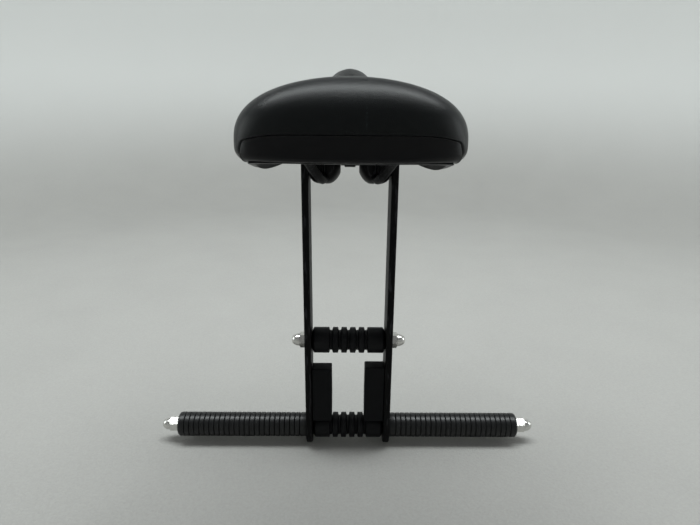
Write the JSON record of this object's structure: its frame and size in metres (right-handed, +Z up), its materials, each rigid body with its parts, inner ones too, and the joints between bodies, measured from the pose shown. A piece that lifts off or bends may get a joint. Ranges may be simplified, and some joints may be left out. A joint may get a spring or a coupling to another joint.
{
  "type": "crossbar child seat",
  "caption": "Small padded saddle on two upright flat bars that clamp over a bicycle's top tube, with grooved rubber rollers, inner pads and a ribbed foot peg on each side.",
  "frame": {"origin": "middle of the window that a bicycle's top tube passes through, halfway between the two roller axes and between the two bars", "axes": "+Z up along the bars to the saddle, +X to the rider's right along the foot pegs, +Y along the top tube towards the saddle's nose"},
  "size_m": [0.3736, 0.24, 0.3603],
  "materials": {
    "satin_black_paint": "satin black powder coat",
    "black_rubber": "moulded matt rubber",
    "zinc_plated_steel": "bright zinc plate",
    "chrome_plate": "polished plate",
    "black_vinyl": "smooth soft-sheen vinyl over foam",
    "black_polypropylene": "fine moulded texture"
  },
  "bodies": {
    "root": {"clamp_cup_inner_left": "satin_black_paint", "clamp_cup_inner_right": "satin_black_paint", "clamp_cup_outer_left": "satin_black_paint", "clamp_cup_outer_right": "satin_black_paint", "clamp_screw_left": "zinc_plated_steel", "clamp_screw_right": "zinc_plated_steel", "clamp_spacer": "satin_black_paint", "lower_roller": "black_rubber", "lower_roller_tube": "zinc_plated_steel", "peg_cap_nut_left": "chrome_plate", "peg_cap_nut_right": "chrome_plate", "peg_grip_left": "black_rubber", "peg_grip_right": "black_rubber", "peg_rod": "zinc_plated_steel", "peg_tube_left": "zinc_plated_steel", "peg_tube_right": "zinc_plated_steel", "saddle_cover": "black_vinyl", "saddle_rail_left": "satin_black_paint", "saddle_rail_right": "satin_black_paint", "saddle_rear_panel": "black_polypropylene", "saddle_shell": "black_polypropylene", "side_bar_left": "satin_black_paint", "side_bar_right": "satin_black_paint", "spacer_pad_left": "black_rubber", "spacer_pad_right": "black_rubber", "upper_bolt": "zinc_plated_steel", "upper_cap_nut_left": "chrome_plate", "upper_cap_nut_right": "chrome_plate", "upper_roller": "black_rubber", "upper_roller_tube": "zinc_plated_steel"}
  },
  "joints": []
}
